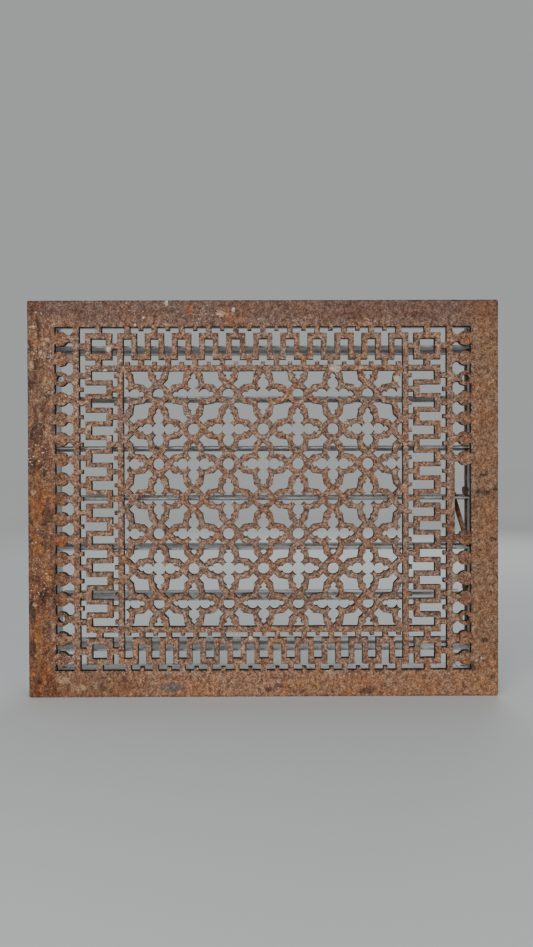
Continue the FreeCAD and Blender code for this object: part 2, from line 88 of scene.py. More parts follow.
# Floor: its paint gets paler between two distances, so that no line shows where it ends
FLOOR_HALF = 60.0
FLOOR_NEAR, FLOOR_FAR = 1.3, 5.0
FLOOR_PAINT, FLOOR_PALE = (0.74, 0.77, 0.77), (0.97, 0.97, 0.97)

# Outlines of the casting
SHORTEST_EDGE = 0.25 * MM       # a shorter edge of the CAD outline is left out
OUTLINE_STEP = 2.9 * MM
SMOOTH_TURN = math.radians(32)  # a sharper turn stays a corner
STRAIGHT = 7 * MM               # a longer edge stays straight
CORNER_R = 3.5 * MM
CORNER_STEPS = 4
HOLE_EDGE_R = 0.9 * MM
RIM_EDGE_R = 1.6 * MM
EDGE_SEGMENTS = 2
LEAST_ACROSS = 0.6              # bounds the step of an edge ring at a sharp corner
CROSSING_REACH = 8
UNCROSSING_ROUNDS = 14
UNCROSSING_SHARE = 0.6
WANDER = 0.32 * MM
WANDER_SCALE = 6.0 * MM
WANDER_SLICE = 0.7              # where the noise is cut, which picks its pattern
NOISE_SEED = 7                  # without a seed, noise_vector follows the clock

# Front of the casting
GRAIN_STEP = 3.4 * MM
GRAIN_ROW = 0.87                # a row's height, in steps
GRAIN_SPREAD = (0.2, 0.8)       # where a point may lie in its cell
GRAIN_CLEAR = 1.3 * MM          # how far the points keep from a rounded edge
GRAIN_SEED = 7
UNEVEN = 0.28 * MM
UNEVEN_SCALE = 16.0 * MM
UNEVEN_SLICE = 0.3
UNEVEN_OCTAVES = 3
PIT = 0.55 * MM
PIT_SCALE = 5.0 * MM
PIT_FLOOR = 0.12
SHARP_TURN = math.radians(42)

# Finding the CAD node's planes
FLAT = 0.01 * MM                # a face this near the front plane is in it
RAY_START = 5 * MM
FRONT_DEPTH = 3 * MM
PLANE_NEAR = 0.3 * MM
TOUCHING = 1e-7

RECESS_GAP = 1 * MM             # round the lips of the valve box, at the casting's back

# Worn edges of the linkage
WORN_EDGE = 0.3 * MM
WORN_SEGMENTS = 2
WORN_TURN = math.radians(40)
WELD = 0.002 * MM

casting_low, casting_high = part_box("face_grille")
FRONT = casting_low.y
WALL = casting_high.y
FRET_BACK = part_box("box_side_left")[0].y
MIDDLE = (casting_low + casting_high) / 2

noise.seed_set(NOISE_SEED)


# ---------------------------------------------------------------- outlines of the casting

def front_loops(node):
    """The boundary loops of the node's front plane: lists of (x, z), with the iron on the left."""
    mesh = node.data
    edges = set()
    for face in mesh.polygons:
        corners = [mesh.vertices[i].co for i in face.vertices]
        if max(c.y for c in corners) > FRONT + FLAT:
            continue
        flat = [(c.x, c.z) for c in corners]
        edges.update(zip(flat, flat[1:] + flat[:1]))
    following = {a: b for a, b in edges if (b, a) not in edges}
    loops = []
    while following:
        start, point = following.popitem()
        loop = [start]
        while point != start:
            loop.append(point)
            point = following.pop(point)
        loops.append(loop)
    return loops


def width(loop):
    return max(x for x, z in loop) - min(x for x, z in loop)


def rim_loop():
    """The casting's outside at mid thickness: a rectangle with rounded corners."""
    half_x = (casting_high.x - casting_low.x) / 2 - CORNER_R
    half_z = (casting_high.z - casting_low.z) / 2 - CORNER_R
    points = []
    for quarter, (sx, sz) in enumerate([(1, 1), (-1, 1), (-1, -1), (1, -1)]):
        for step in range(CORNER_STEPS + 1):
            turn = math.pi / 2 * (quarter + step / CORNER_STEPS)
            points.append((MIDDLE.x + sx * half_x + CORNER_R * math.cos(turn),
                           MIDDLE.z + sz * half_z + CORNER_R * math.sin(turn)))
    return points


def with_neighbours(points):
    """Each point of a closed loop, between the one before it and the one after."""
    return zip(points[-1:] + points[:-1], points, points[1:] + points[:1])


def tangents(points):
    """Each point's direction along the loop, or None at a corner. A long edge gives it its own."""
    found = []
    for before, here, after in with_neighbours(points):
        coming, going = here - before, after - here
        straight = [edge for edge in (coming, going) if edge.length > STRAIGHT]
        if coming.angle(going, 0) > SMOOTH_TURN:
            found.append(None)
        else:
            found.append((straight[0] if straight else coming + going).normalized())
    return found


def resampled(loop):
    """The loop with its long steps divided, curved where it turns gently."""
    points = [Vector(p) for p in loop]
    points = [p for p, q in zip(points, points[1:] + points[:1]) if (p - q).length > SHORTEST_EDGE]
    directions = tangents(points)
    dense = []
    for n, start in enumerate(points):
        end = points[(n + 1) % len(points)]
        chord = end - start
        size = chord.length
        leaving, arriving = chord, chord
        if size <= STRAIGHT:
            leaving = (directions[n] or chord.normalized()) * size
            arriving = (directions[(n + 1) % len(points)] or chord.normalized()) * size
        parts = max(1, math.ceil(size / OUTLINE_STEP))
        for part in range(parts):
            t = part / parts
            dense.append(start * (2 * t ** 3 - 3 * t ** 2 + 1) + leaving * (t ** 3 - 2 * t ** 2 + t)
                         + end * (3 * t ** 2 - 2 * t ** 3) + arriving * (t ** 3 - t ** 2))
    return dense


def inward(points):
    """For each point, the step towards the iron that moves both its edges by one unit."""
    steps = []
    for before, here, after in with_neighbours(points):
        coming, going = (here - before).normalized(), (after - here).normalized()
        left = Vector((-coming.y - going.y, coming.x + going.x))
        left = left.normalized() if left.length > 0.1 else Vector((-going.y, going.x))
        across = left.dot(Vector((-going.y, going.x)))
        steps.append(left / max(across, LEAST_ACROSS))
    return steps


def uncrossed(points, steps):
    """The steps towards the iron, shortened at its tips so that the ring doesn't cross itself."""
    count = len(points)
    steps = list(steps)
    for _ in range(UNCROSSING_ROUNDS):
        ring = [point + step for point, step in zip(points, steps)]
        crossed = set()
        for n in range(count):
            for ahead in range(2, min(CROSSING_REACH, count - 1)):
                m = (n + ahead) % count
                if intersect_line_line_2d(ring[n], ring[(n + 1) % count],
                                          ring[m], ring[(m + 1) % count]):
                    crossed.update((n + k) % count for k in range(ahead + 2))
        if not crossed:
            break
        for n in crossed:
            steps[n] = steps[n] * UNCROSSING_SHARE
    return steps


def wandering(x, z):
    """How far the corroded outline strays at a place."""
    stray = noise.noise_vector(Vector((x, WANDER_SLICE, z)) / WANDER_SCALE)
    return Vector((stray.x, stray.z)) * WANDER


def hollow(x, z):
    """How far the worn front lies below its highest points at a place."""
    place = Vector((x, UNEVEN_SLICE, z))
    waves = 0.5 + 0.5 * noise.fractal(place / UNEVEN_SCALE, 1.0, 2.0, UNEVEN_OCTAVES)
    pits = max(0.0, noise.noise(place / PIT_SCALE) - PIT_FLOOR)
    return max(0.0, waves) * UNEVEN + pits * PIT


# ---------------------------------------------------------------- mesh of the casting

# Material slots. The hole walls' slot gets rust darkened almost to black: partly dark rust, partly
# painted shade in the holes.
IRON, SHADED_HOLE_WALL, BACK = 0, 1, 2
EDGE = "edge_share"             # 1 along an outline, 0 away from it


class Builder:
    """Collects vertices and faces, with a material number for each face."""

    def __init__(self):
        self.vertices = []
        self.edge_share = []
        self.faces = []
        self.slots = []

    def add(self, x, y, z, edge_share=0.0):
        self.vertices.append((x, y, z))
        self.edge_share.append(edge_share)
        return len(self.vertices) - 1

    def add_front(self, point):
        """A vertex on the uneven front."""
        return self.add(point.x, FRONT + hollow(point.x, point.y), point.y)

    def face(self, corners, slot):
        self.faces.append(corners)
        self.slots.append(slot)

    def strip(self, near, far, slot):
        """Faces between two closed rings of the same length."""
        for n in range(len(near)):
            after = (n + 1) % len(near)
            self.face((near[n], near[after], far[after], far[n]), slot)

    def in_plane(self, rings):
        """The rings' points as (x, z), the edges along them, and the vertex of each point."""
        flat, edges, standing = [], [], []
        for ring in rings:
            base = len(flat)
            flat += [Vector((self.vertices[i][0], self.vertices[i][2])) for i in ring]
            edges += [(base + n, base + (n + 1) % len(ring)) for n in range(len(ring))]
            standing += ring
        return flat, edges, standing

    def object(self, name, materials):
        mesh = bpy.data.meshes.new(name)
        mesh.from_pydata(self.vertices, [], self.faces)
        for finish in materials:
            mesh.materials.append(finish)
        mesh.polygons.foreach_set("material_index", self.slots)
        mesh.polygons.foreach_set("use_smooth", [True] * len(self.faces))
        mesh.update()
        mesh.set_sharp_from_angle(angle=SHARP_TURN)
        mesh.attributes.new(EDGE, "FLOAT", "POINT").data.foreach_set("value", self.edge_share)
        made = bpy.data.objects.new(name, mesh)
        bpy.context.scene.collection.objects.link(made)
        return made


def loop_rings(builder, points, edge_r, back_y, wall):
    """The rings of one outline from the back to the front plane; returns the first and the last."""
    strays = [wandering(p.x, p.y) for p in points]
    steps = uncrossed([p + s for p, s in zip(points, strays)],
                      [step * edge_r for step in inward(points)])
    rings = [[builder.add(p.x + s.x, back_y, p.y + s.y) for p, s in zip(points, strays)]]
    for segment in range(EDGE_SEGMENTS + 1):
        share = segment / EDGE_SEGMENTS
        turn = math.pi / 2 * share
        off, depth = 1 - math.cos(turn), edge_r * (1 - math.sin(turn))
        ring = []
        for point, step, stray in zip(points, steps, strays):
            x, z = point + stray + step * off
            ring.append(builder.add(x, FRONT + depth + share * hollow(x, z), z, 1.0))
        rings.append(ring)
    builder.strip(rings[0], rings[1], wall)
    for near, far in zip(rings[1:], rings[2:]):
        builder.strip(near, far, IRON)
    return rings[0], rings[-1]


def on_surface(solid, x, z, side):
    """What a ray finds first: front from side 1, rim or recess from side -1, or None for a hole."""
    start = Vector((x, FRONT - RAY_START if side > 0 else WALL + RAY_START, z))
    hit = solid.ray_cast(start, Vector((0, side, 0)))[0]
    if hit is None:
        return None
    if side > 0:
        return "front" if hit.y < FRONT + FRONT_DEPTH else None
    if hit.y > WALL - PLANE_NEAR:
        return "rim"
    return "recess" if hit.y > FRET_BACK - PLANE_NEAR else None


def grain_points(outlines, solid):
    """Points strewn over the iron's front between the outlines."""
    along = [p for outline in outlines for p in outline]
    tree = KDTree(len(along))
    for n, point in enumerate(along):
        tree.insert((point.x, point.y, 0), n)
    tree.balance()
    draw = random.Random(GRAIN_SEED)
    clear = HOLE_EDGE_R + GRAIN_CLEAR
    found = []
    rows = int((casting_high.z - casting_low.z) / (GRAIN_STEP * GRAIN_ROW))
    columns = int((casting_high.x - casting_low.x) / GRAIN_STEP)
    for row in range(rows):
        for column in range(columns):
            across = column + 0.5 * (row % 2) + draw.uniform(*GRAIN_SPREAD)
            x = casting_low.x + across * GRAIN_STEP
            z = casting_low.z + (row + draw.uniform(*GRAIN_SPREAD)) * GRAIN_STEP * GRAIN_ROW
            if tree.find((x, z, 0))[2] > clear and on_surface(solid, x, z, 1) == "front":
                found.append(Vector((x, z)))
    return found


def area(points, corners):
    a, b, c = (points[i] for i in corners)
    return (b - a).cross(c - a) / 2


def neighbouring(triangles, walls):
    """The neighbours of each triangle, walls apart, and those that lie on the outer border."""
    sharing = {}
    for number, corners in enumerate(triangles):
        for a, b in zip(corners, corners[1:] + corners[:1]):
            key = frozenset((a, b))
            if key not in walls:
                sharing.setdefault(key, []).append(number)
    neighbours = [[] for _ in triangles]
    on_border = set()
    for pair in sharing.values():
        if len(pair) == 2:
            neighbours[pair[0]].append(pair[1])
            neighbours[pair[1]].append(pair[0])
        else:
            on_border.add(pair[0])
    return neighbours, on_border


def joined_groups(neighbours):
    """The numbers of the triangles, by group of those that join."""
    seen = [False] * len(neighbours)
    for first in range(len(neighbours)):
        if seen[first]:
            continue
        seen[first] = True
        group, waiting = [], [first]
        while waiting:
            number = waiting.pop()
            group.append(number)
            for other in neighbours[number]:
                if not seen[other]:
                    seen[other] = True
                    waiting.append(other)
        yield group


def regions(flat, edges, solid, side):
    """Cuts the plane along edges and returns its triangles by region, named as on_surface does.

    Each region is named by its largest triangle. Those without a name, and those outside the
    outermost outline, are left out. Also returns all points, and for each the number of the given
    point that it is, or None.
    """
    points, all_edges, triangles, origins, edge_origins, _ = delaunay_2d_cdt(
        flat, edges, [], 0, TOUCHING)
    walls = {frozenset(edge) for edge, source in zip(all_edges, edge_origins) if source}
    neighbours, on_border = neighbouring(triangles, walls)
    named = []
    for group in joined_groups(neighbours):
        if not on_border.isdisjoint(group):
            continue
        largest = max(group, key=lambda n: abs(area(points, triangles[n])))
        middle = sum((points[i] for i in triangles[largest]), Vector((0, 0))) / 3
        name = on_surface(solid, middle.x, middle.y, side)
        if name:
            named.append((name, [triangles[n] for n in group]))
    return points, [source[0] if source else None for source in origins], named


def fill_front(builder, rings, grain, solid):
    """The uneven front between the rings, through the grain's points."""
    flat, edges, standing = builder.in_plane(rings)
    flat += grain
    standing += [builder.add_front(point) for point in grain]
    points, origins, named = regions(flat, edges, solid, 1)
    numbers = [builder.add_front(point) if origin is None else standing[origin]
               for point, origin in zip(points, origins)]
    for _, triangles in named:
        for corners in triangles:
            builder.face(tuple(numbers[i] for i in corners), IRON)


def fill_back(builder, rings, solid):
    """The flat back between the rings: the rim, and the recess for the valve box's lips."""
    recess_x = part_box("box_side_right")[1].x + RECESS_GAP
    recess_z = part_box("box_top")[1].z + RECESS_GAP
    corners = [(recess_x, recess_z), (-recess_x, recess_z), (-recess_x, -recess_z),
               (recess_x, -recess_z)]
    low = [builder.add(x, FRET_BACK, z) for x, z in corners]
    high = [builder.add(x, WALL, z) for x, z in corners]
    builder.strip(low, high, BACK)
    flat, edges, standing = builder.in_plane(rings + [low])
    points, origins, named = regions(flat, edges, solid, -1)
    for name, triangles in named:
        y, raised = (WALL, dict(zip(low, high))) if name == "rim" else (FRET_BACK, {})
        extra = {}
        for triangle in triangles:
            numbers = []
            for i in reversed(triangle):
                if origins[i] is not None:
                    number = standing[origins[i]]
                    numbers.append(raised.get(number, number))
                    continue
                if i not in extra:
                    extra[i] = builder.add(points[i].x, y, points[i].y)
                numbers.append(extra[i])
            builder.face(tuple(numbers), BACK)


def fretted_face(materials):
    """The casting, from the front outlines of its CAD node."""
    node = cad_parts["face_grille"]
    solid = BVHTree.FromPolygons([v.co for v in node.data.vertices],
                                 [tuple(p.vertices) for p in node.data.polygons])
    loops = front_loops(node)
    rim = max(loops, key=width)
    holes = [resampled(loop) for loop in loops if loop is not rim]
    outside = resampled(rim_loop())
    builder = Builder()
    ends = [loop_rings(builder, outside, RIM_EDGE_R, WALL, BACK)]
    ends += [loop_rings(builder, hole, HOLE_EDGE_R, FRET_BACK, SHADED_HOLE_WALL) for hole in holes]
    grain = grain_points([outside] + holes, solid)
    fill_front(builder, [last for _, last in ends], grain, solid)
    fill_back(builder, [first for first, _ in ends], solid)
    made = builder.object("fretted_face", materials)
    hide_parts("face_grille")
    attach(made, "frame")
    return made


# ---------------------------------------------------------------- colours

RUST_RAMP = [(0.37, (0.018, 0.009, 0.007)), (0.45, (0.105, 0.052, 0.035)),
             (0.52, (0.222, 0.121, 0.077)), (0.59, (0.360, 0.222, 0.150)),
             (0.67, (0.560, 0.400, 0.290))]
FRESH_RUST = (0.34, 0.135, 0.045)
FLANGE_RUST = (0.20, 0.110, 0.070)
PIT_BROWN = (0.045, 0.022, 0.015)
EDGE_BROWN = (0.045, 0.024, 0.018)
SPECK = (0.66, 0.55, 0.45)

ZINC_DIRT = (0.17, 0.150, 0.125)
ZINC_CHALK = (0.68, 0.69, 0.68)
ZINC_RUST = (0.20, 0.105, 0.055)
STEEL_RUST = (0.20, 0.10, 0.055)

# Tints that a colour is multiplied by
WARM = (1.12, 0.94, 0.78)
INSIDE_TINT = (1.10, 1.16, 1.24)
# The next three: the lower part brighter as painted light from below; the top greyer and darker,
# partly its own tone and partly painted shade; the bottom warmer and brighter, partly its own tone
# and partly painted light.
LOW_PAINTED_LIGHT = (1.12, 1.08, 1.04)
TOP_TONE_AND_PAINTED_SHADE = (0.77, 0.76, 0.86)
BOTTOM_TONE_AND_PAINTED_LIGHT = (1.24, 1.17, 1.06)
RIGHT_TINT = (1.04, 0.98, 0.84)
LEFT_TINT = (0.98, 0.95, 0.89)
DISC_TINT = (0.84, 0.74, 0.64)
ORANGE_STREAK = (1.05, 0.76, 0.45)
DARK_STREAK = (0.60, 0.50, 0.50)
DARK_BLOTCH = (0.45, 0.38, 0.36)
PALE_BLOTCH = (1.30, 1.26, 1.15)

# Colours of the patches
ORANGE, CREAM, TAN = (0.42, 0.125, 0.025), (0.66, 0.58, 0.49), (0.56, 0.37, 0.21)
MAROON, SLATE, MOSS = (0.10, 0.042, 0.030), (0.13, 0.105, 0.105), (0.30, 0.22, 0.09)
DARK, OCHRE = (0.055, 0.028, 0.018), (0.40, 0.17, 0.04)

# Patches on the front: x, z, half-width and half-height in mm, strength, colour
SPOTS = [
    # top of the flange
    (-157, 319, 3, 5, 0.7, CREAM), (-119, 310, 6, 9, 0.55, ORANGE),
    (-52, 294, 20, 12, 0.25, ORANGE), (-68, 302, 7, 4, 0.85, TAN), (-48, 308, 3, 4, 0.9, CREAM),
    (-194, 296, 2, 2, 0.9, CREAM), (-208, 284, 2, 2, 0.9, CREAM), (-36, 262, 10, 26, 0.6, MAROON),
    (150, 304, 26, 12, 0.35, MAROON), (-300, 305, 16, 9, 0.35, DARK),
    (260, 300, 20, 9, 0.3, MAROON),
    # left of the flange
    (-375, 281, 4, 3, 0.55, TAN), (-351, 260, 5, 3, 0.5, TAN), (-362, 239, 3, 3, 0.6, TAN),
    (-377, 216, 4, 7, 0.45, TAN), (-371, 106, 11, 22, 0.6, DARK), (-353, 70, 9, 24, 0.45, MAROON),
    (-375, 12, 5, 4, 0.5, TAN), (-353, -29, 8, 13, 0.4, DARK), (-347, -73, 6, 11, 0.6, MAROON),
    (-368, -73, 8, 18, 0.35, OCHRE), (-375, -128, 10, 5, 0.65, DARK), (-350, -130, 4, 3, 0.6, TAN),
    (-344, -146, 6, 12, 0.5, DARK), (-374, -172, 4, 4, 0.5, TAN), (-368, -240, 6, 40, 0.35, OCHRE),
    (-377, -190, 5, 22, 0.45, DARK), (-352, -215, 6, 20, 0.35, MAROON),
    (-374, -302, 9, 12, 0.5, DARK),
    # right of the flange
    (360, 119, 6, 6, 0.5, MAROON), (359, 38, 6, 3, 0.9, DARK), (363, 9, 9, 4, 0.9, DARK),
    (351, 10, 5, 3, 0.85, DARK), (379, 16, 4, 6, 0.8, DARK), (346, -15, 4, 14, 0.4, DARK),
    (374, -67, 6, 4, 0.75, DARK), (354, -85, 2, 2, 0.7, DARK), (371, -103, 4, 4, 0.4, MAROON),
    (363, -232, 7, 4, 0.8, DARK), (342, -277, 5, 6, 0.8, DARK), (374, -292, 4, 4, 0.5, DARK),
    (357, -262, 3, 2, 0.7, CREAM), (348, -266, 2, 2, 0.7, CREAM), (378, -252, 4, 14, 0.4, DARK),
    (356, 200, 5, 5, 0.35, MAROON), (372, 262, 5, 9, 0.35, DARK),
    # bottom of the flange
    (-270, -304, 85, 24, 0.30, DARK), (-327, -296, 12, 6, 0.45, TAN),
    (-300, -308, 14, 6, 0.35, TAN), (-346, -305, 12, 12, 0.35, MAROON),
    (-264, -308, 7, 6, 0.5, DARK), (-228, -296, 7, 5, 0.8, MAROON), (-207, -302, 3, 3, 0.6, MAROON),
    (-152, -308, 20, 9, 0.8, SLATE), (-157, -288, 7, 10, 0.5, SLATE),
    (-90, -299, 4, 4, 0.4, MAROON), (8, -312, 9, 4, 0.8, MAROON), (24, -306, 9, 4, 0.8, MAROON),
    (34, -288, 5, 4, 0.5, MAROON), (62, -315, 5, 4, 0.8, MAROON), (84, -308, 6, 5, 0.5, OCHRE),
    (104, -283, 4, 4, 0.6, TAN), (142, -315, 6, 4, 0.5, OCHRE), (168, -315, 12, 6, 0.8, MAROON),
    (196, -304, 5, 4, 0.4, MAROON),
    # fret
    (-252, 245, 5, 5, 0.6, CREAM), (-257, 209, 3, 3, 0.9, CREAM), (-283, 118, 5, 5, 0.5, TAN),
    (-252, 100, 5, 5, 0.6, CREAM), (-331, -75, 13, 13, 0.45, ORANGE),
    (335, 261, 6, 6, 0.45, ORANGE), (301, 264, 7, 6, 0.45, ORANGE), (314, 235, 6, 5, 0.45, ORANGE),
    (288, 123, 6, 6, 0.45, ORANGE), (118, 212, 9, 6, 0.55, CREAM), (219, 196, 8, 6, 0.5, CREAM),
    (131, 227, 5, 4, 0.6, MOSS), (290, -60, 26, 60, 0.35, MAROON), (-264, -267, 6, 6, 0.6, MOSS),
    (-89, -222, 6, 4, 0.7, SLATE), (-60, -227, 8, 8, 0.7, SLATE), (-80, -252, 4, 12, 0.65, SLATE),
    (-102, -245, 4, 11, 0.65, SLATE), (-45, -222, 5, 5, 0.6, CREAM), (-34, -243, 3, 10, 0.5, TAN),
    (-21, -228, 4, 4, 0.6, CREAM),
]
SPOT_RAGGED = 1.9               # how far noise moves a patch's edge, in half-widths
SPOT_OUT, SPOT_IN = 2.05, 1.70  # where a patch ends and where it is full, noise included

# Areas of the front
SIDE_X, SIDE_Z = 341 * MM, 286 * MM     # where the flange's tones begin
SIDE_SOFT = 12 * MM
DISC_X = 330.5 * MM
DISC_PITCH = 32.7 * MM
DISC_R = 11.9 * MM
SLOT_HALF = 60 * MM
BAND_END = 275 * MM


# ---------------------------------------------------------------- materials

class Finish:
    """A procedural material on the object's own coordinates, in metres."""

    def __init__(self, name, roughness, metallic=0.0):
        self.material = bpy.data.materials.new(name)
        self.material.use_nodes = True
        self.tree = self.material.node_tree
        self.shader = self.tree.nodes["Principled BSDF"]
        self.shader.inputs["Metallic"].default_value = metallic
        self.shader.inputs["Roughness"].default_value = roughness
        self.place = self.tree.nodes.new("ShaderNodeTexCoord").outputs["Object"]

    def link(self, source, target):
        self.tree.links.new(source, target)

    def texture(self, kind, size, stretch=(1, 1, 1), shift=0.0):
        """A texture whose features are about size metres; shift picks another part of it."""
        mapping = self.tree.nodes.new("ShaderNodeMapping")
        mapping.inputs["Scale"].default_value = [s / size for s in stretch]
        mapping.inputs["Location"].default_value = (shift, shift * 0.7, shift * 1.3)
        self.link(self.place, mapping.inputs["Vector"])
        node = self.tree.nodes.new(kind)
        node.inputs["Scale"].default_value = 1.0
        self.link(mapping.outputs["Vector"], node.inputs["Vector"])
        return node

    def noise(self, size, detail=2.0, rough=0.5, stretch=(1, 1, 1), shift=0.0):
        """Noise from 0 to 1."""
        node = self.texture("ShaderNodeTexNoise", size, stretch, shift)
        node.inputs["Detail"].default_value = detail
        node.inputs["Roughness"].default_value = rough
        return node.outputs["Fac"]

    def cells(self, size):
        """Cells of random colours."""
        return self.texture("ShaderNodeTexVoronoi", size).outputs["Color"]

    def ramp(self, source, stops):
        """Colours or grey values by place along 0 to 1."""
        node = self.tree.nodes.new("ShaderNodeValToRGB")
        elements = node.color_ramp.elements
        while len(elements) < len(stops):
            elements.new(0.5)
        for element, (place, colour) in zip(elements, stops):
            element.position = place
            element.color = (*colour, 1) if isinstance(colour, tuple) else (colour,) * 3 + (1,)
        self.link(source, node.inputs["Fac"])
        return node.outputs["Color"]

    def mix(self, share, low, high, blend="MIX"):
        node = self.tree.nodes.new("ShaderNodeMix")
        node.data_type = "RGBA"
        node.blend_type = blend
        sockets = {s.identifier: s for s in node.inputs}
        for value, name in ((share, "Factor_Float"), (low, "A_Color"), (high, "B_Color")):
            if isinstance(value, (int, float)):
                sockets[name].default_value = value
            elif isinstance(value, tuple):
                sockets[name].default_value = (*value, 1)
            else:
                self.link(value, sockets[name])
        return {s.identifier: s for s in node.outputs}["Result_Color"]

    def tinted(self, share, body, tint):
        """The body, multiplied by a tint where share is 1."""
        return self.mix(share, body, self.mix(1.0, body, tint, "MULTIPLY"))

    def maths(self, operation, a, b=0.0, c=0.0):
        node = self.tree.nodes.new("ShaderNodeMath")
        node.operation = operation
        for value, socket in zip((a, b, c), node.inputs):
            if isinstance(value, (int, float)):
                socket.default_value = value
            else:
                self.link(value, socket)
        return node.outputs["Value"]

    def times(self, a, b):
        return self.maths("MULTIPLY", a, b)

    def highest(self, a, b):
        return self.maths("MAXIMUM", a, b)

    def swing(self, source, reach):
        """Noise turned into a distance to either side of zero, over reach from end to end."""
        return self.maths("MULTIPLY_ADD", source, reach, -reach / 2)

    def vector_maths(self, operation, vector, constant=(0, 0, 0)):
        node = self.tree.nodes.new("ShaderNodeVectorMath")
        node.operation = operation
        node.inputs[1].default_value = constant
        self.link(vector, node.inputs[0])
        return node.outputs["Value" if operation == "LENGTH" else "Vector"]

    def spot(self, x, z, half_x, half_z, share, ragged):
        """An oval patch on the front, with a ragged edge."""
        offset = self.vector_maths("SUBTRACT", self.place, (x, FRONT, z))
        scaled = self.vector_maths("MULTIPLY", offset, (1 / half_x, 0, 1 / half_z))
        far = self.vector_maths("LENGTH", scaled)
        return self.between(self.maths("ADD", ragged, far), SPOT_OUT, SPOT_IN, 0.0, share)

    def axis(self, name):
        node = self.tree.nodes.new("ShaderNodeSeparateXYZ")
        self.link(self.place, node.inputs["Vector"])
        return node.outputs[name]

    def between(self, source, low, high, to_low=0.0, to_high=1.0):
        """Maps a range of values to another, held at its ends."""
        node = self.tree.nodes.new("ShaderNodeMapRange")
        node.clamp = True
        for name, value in (("From Min", low), ("From Max", high), ("To Min", to_low),
                            ("To Max", to_high)):
            node.inputs[name].default_value = value
        self.link(source, node.inputs["Value"])
        return node.outputs["Result"]

    def colour(self, source):
        self.link(source, self.shader.inputs["Base Color"])

    def roughness(self, source):
        self.link(source, self.shader.inputs["Roughness"])

    def bump(self, height, distance):
        node = self.tree.nodes.new("ShaderNodeBump")
        node.inputs["Distance"].default_value = distance
        node.inputs["Strength"].default_value = 1.0
        self.link(height, node.inputs["Height"])
        self.link(node.outputs["Normal"], self.shader.inputs["Normal"])


def rust_tones(finish, shade):
    """Sandy, pitted rust: the relief's grain, and its colour."""

    def tone(colour):
        return tuple(value * shade for value in colour)

    grain = finish.maths("MULTIPLY_ADD", finish.noise(8 * MM, 3, 0.6, shift=7.7), 0.40,
                         finish.times(finish.noise(2.5 * MM, 4, 0.7), 0.65))
    body = finish.ramp(grain, [(place, tone(colour)) for place, colour in RUST_RAMP])
    patches = finish.between(finish.noise(48 * MM, 4, 0.6, shift=3.1), 0.42, 0.60)
    body = finish.tinted(patches, body, WARM)
    fresh = finish.between(finish.noise(6 * MM, 3, 0.6, shift=9.4), 0.66, 0.74, 0.0, 0.75)
    return grain, finish.mix(fresh, body, tone(FRESH_RUST))


def rusted_iron(name, shade):
    """Old rust on the back, in the holes and on the linkage, darkened by shade; in the holes that
    darkening is partly dark rust and partly painted shade.
    """
    finish = Finish(name, 0.9)
    grain, body = rust_tones(finish, shade)
    finish.colour(body)
    finish.bump(grain, 1.2 * MM)
    return finish.material


def flange_sides(finish, x, z):
    """Shares of the flange's top, bottom, left and right; all but the right have wavy borders."""
    waver = finish.swing(finish.noise(60 * MM, 3, 0.6, shift=2.2), 60 * MM)
    level = finish.maths("ADD", z, waver)
    top = finish.between(level, SIDE_Z - SIDE_SOFT, SIDE_Z + SIDE_SOFT)
    bottom = finish.between(level, -SIDE_Z + SIDE_SOFT, -SIDE_Z - SIDE_SOFT)
    corner = finish.between(z, -250 * MM, -310 * MM, 0.0, 12 * MM)
    fray = finish.swing(finish.noise(15 * MM, 4, 0.65, shift=17.6), 60 * MM)
    reach = finish.maths("ADD", finish.maths("ADD", waver, corner), fray)
    left = finish.between(finish.maths("SUBTRACT", x, reach),
                          -SIDE_X + SIDE_SOFT, -SIDE_X - SIDE_SOFT)
    right = finish.between(x, SIDE_X - SIDE_SOFT, SIDE_X + SIDE_SOFT)
    return top, bottom, left, right


def disc_share(finish, x, z):
    """1 on the discs of the two side bands, which end above and below, and not at the slot."""
    across = finish.maths("SUBTRACT", finish.maths("ABSOLUTE", x), DISC_X)
    up = finish.maths("PINGPONG", z, DISC_PITCH / 2)
    away = finish.maths("SQRT", finish.maths("MULTIPLY_ADD", across, across,
                                             finish.times(up, up)))
    height = finish.maths("ABSOLUTE", z)
    slot = finish.times(finish.between(x, -10 * MM, 10 * MM),
                        finish.between(height, SLOT_HALF + 2 * MM, SLOT_HALF - 2 * MM))
    disc = finish.times(finish.between(away, DISC_R + 0.8 * MM, DISC_R - 1.2 * MM),
                        finish.maths("SUBTRACT", 1.0, slot))
    return finish.times(disc, finish.between(height, BAND_END + 1 * MM, BAND_END - 1 * MM))


def left_stains(finish, body, left, z):
    """Streaks and blotches of the flange's left side, with orange runs low down."""
    streaks = finish.noise(11 * MM, 4, 0.65, stretch=(1.6, 1, 0.22), shift=6.1)
    blotches = finish.noise(19 * MM, 4, 0.7, stretch=(1.2, 1, 0.75), shift=10.3)
    lower = finish.times(left, finish.between(z, 120 * MM, 20 * MM))
    for share, source, low, high, tint in ((lower, streaks, 0.42, 0.58, ORANGE_STREAK),
                                           (left, streaks, 0.54, 0.42, DARK_STREAK),
                                           (left, blotches, 0.47, 0.38, DARK_BLOTCH),
                                           (left, blotches, 0.53, 0.62, PALE_BLOTCH)):
        body = finish.tinted(finish.times(share, finish.between(source, low, high)), body, tint)
    return body


